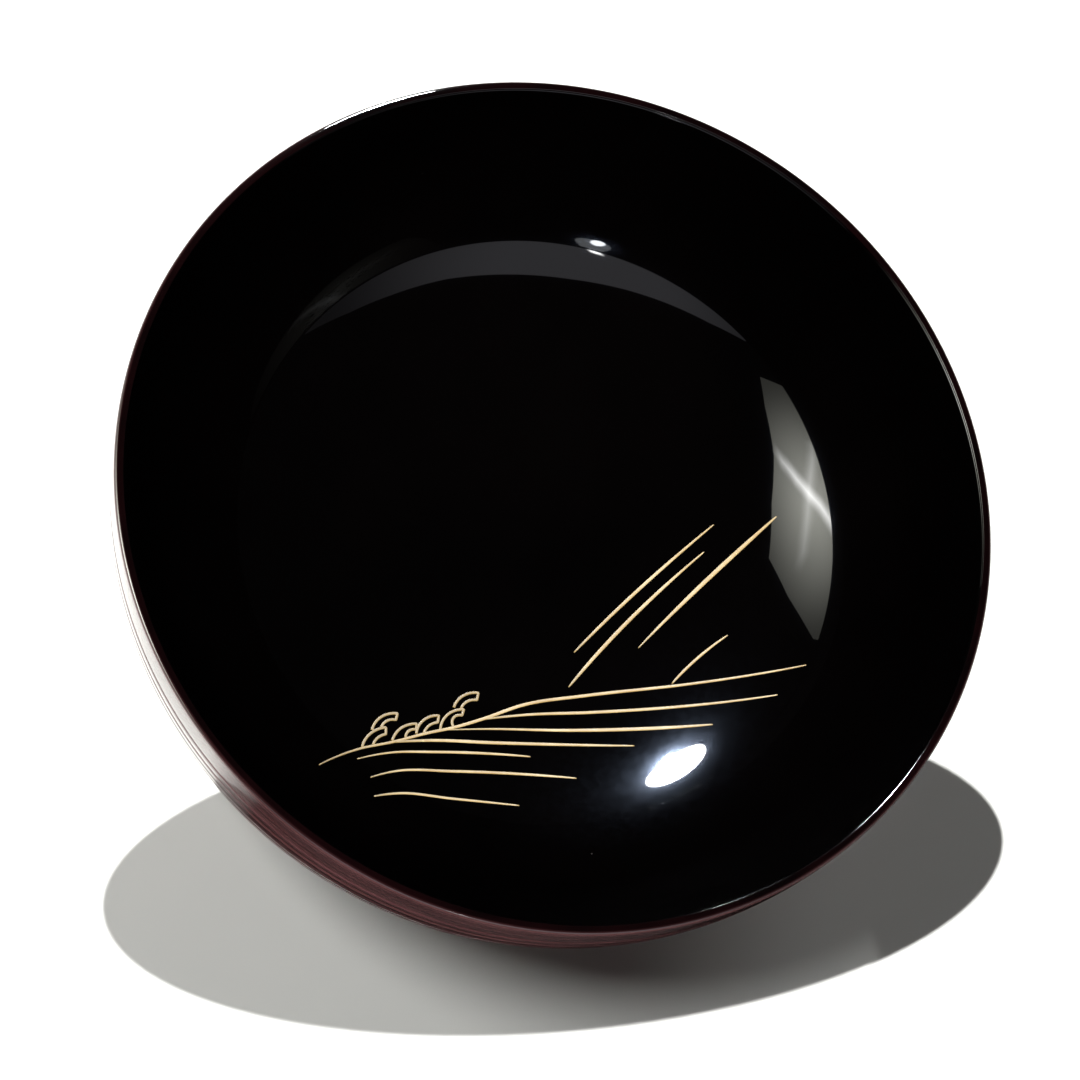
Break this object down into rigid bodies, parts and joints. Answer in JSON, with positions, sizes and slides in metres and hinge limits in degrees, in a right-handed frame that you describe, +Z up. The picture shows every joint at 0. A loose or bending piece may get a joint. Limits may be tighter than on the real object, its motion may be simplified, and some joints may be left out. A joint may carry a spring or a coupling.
{
  "type": "lacquered wooden sweets bowl",
  "caption": "Deep round lacquered wooden bowl on a low foot ring, mirror black inside with raised gold brush strokes, reddish brown and ring-turned outside.",
  "frame": {"origin": "centre of the foot ring's resting face, at the bottom centre of the bowl's box", "axes": "+Z up out of the opening along the bowl's axis, +X towards the right of the gold drawing, +Y towards its top"},
  "size_m": [0.212, 0.212, 0.093],
  "materials": {
    "wood": "bare turned wood, hidden under lacquer",
    "black_lacquer": "mirror gloss black lacquer",
    "brown_lacquer": "gloss translucent reddish brown lacquer over turned wood",
    "foot_lacquer": "semi-gloss black lacquer",
    "gold": "burnished gold powder in lacquer"
  },
  "bodies": {
    "root": {"wood_core": "wood", "inner_lacquer": "black_lacquer", "outer_lacquer": "brown_lacquer", "foot_lacquer": "foot_lacquer", "shore_stroke_1": "gold", "shore_stroke_2": "gold", "shore_stroke_3": "gold", "shore_stroke_4": "gold", "shore_stroke_5": "gold", "shore_stroke_6": "gold", "shore_stroke_7": "gold", "slant_stroke_1": "gold", "slant_stroke_2": "gold", "slant_stroke_3": "gold", "slant_stroke_4": "gold", "pine_tuft_1": "gold", "pine_tuft_2": "gold", "pine_tuft_3": "gold", "pine_tuft_4": "gold", "pine_tuft_5": "gold", "pine_tuft_6": "gold"}
  },
  "joints": []
}
